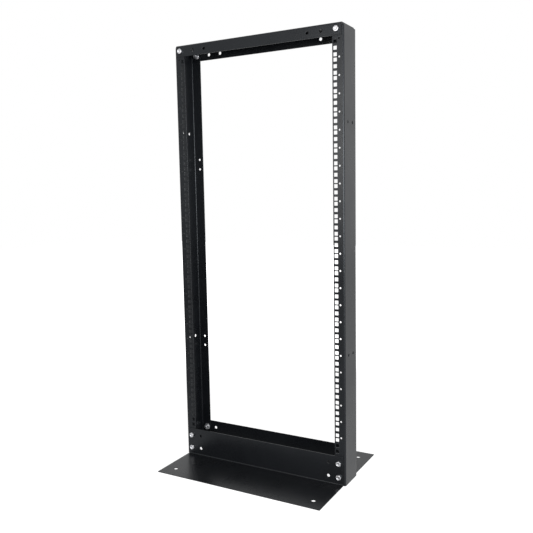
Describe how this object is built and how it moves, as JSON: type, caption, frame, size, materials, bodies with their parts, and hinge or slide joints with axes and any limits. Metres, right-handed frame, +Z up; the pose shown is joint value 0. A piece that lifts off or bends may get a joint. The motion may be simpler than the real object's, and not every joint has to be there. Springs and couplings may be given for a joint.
{
  "type": "two post open frame rack",
  "caption": "Free-standing open frame equipment rack: channel posts with square mounting holes, capped by a channel bar and bolted to base angles with flat feet.",
  "frame": {"origin": "on the floor, under the middle of the rack", "axes": "+X to the right seen from the front, +Y from the front to the back, +Z up"},
  "size_m": [0.512, 0.386, 1.1912],
  "materials": {
    "black_powder_coat": "satin black powder coat on bent sheet steel",
    "zinc_plated_steel": "bright zinc plating"
  },
  "bodies": {
    "root": {"left_post": "black_powder_coat", "right_post": "black_powder_coat", "top_bar": "black_powder_coat", "front_base_angle": "black_powder_coat", "rear_base_angle": "black_powder_coat", "top_front_left_bolt": "zinc_plated_steel", "top_front_left_nut": "zinc_plated_steel", "base_front_left_lower_bolt": "zinc_plated_steel", "base_front_left_lower_nut": "zinc_plated_steel", "base_front_left_upper_bolt": "zinc_plated_steel", "base_front_left_upper_nut": "zinc_plated_steel", "top_front_right_bolt": "zinc_plated_steel", "top_front_right_nut": "zinc_plated_steel", "base_front_right_lower_bolt": "zinc_plated_steel", "base_front_right_lower_nut": "zinc_plated_steel", "base_front_right_upper_bolt": "zinc_plated_steel", "base_front_right_upper_nut": "zinc_plated_steel", "top_rear_left_bolt": "zinc_plated_steel", "top_rear_left_nut": "zinc_plated_steel", "base_rear_left_lower_bolt": "zinc_plated_steel", "base_rear_left_lower_nut": "zinc_plated_steel", "base_rear_left_upper_bolt": "zinc_plated_steel", "base_rear_left_upper_nut": "zinc_plated_steel", "top_rear_right_bolt": "zinc_plated_steel", "top_rear_right_nut": "zinc_plated_steel", "base_rear_right_lower_bolt": "zinc_plated_steel", "base_rear_right_lower_nut": "zinc_plated_steel", "base_rear_right_upper_bolt": "zinc_plated_steel", "base_rear_right_upper_nut": "zinc_plated_steel"}
  },
  "joints": []
}
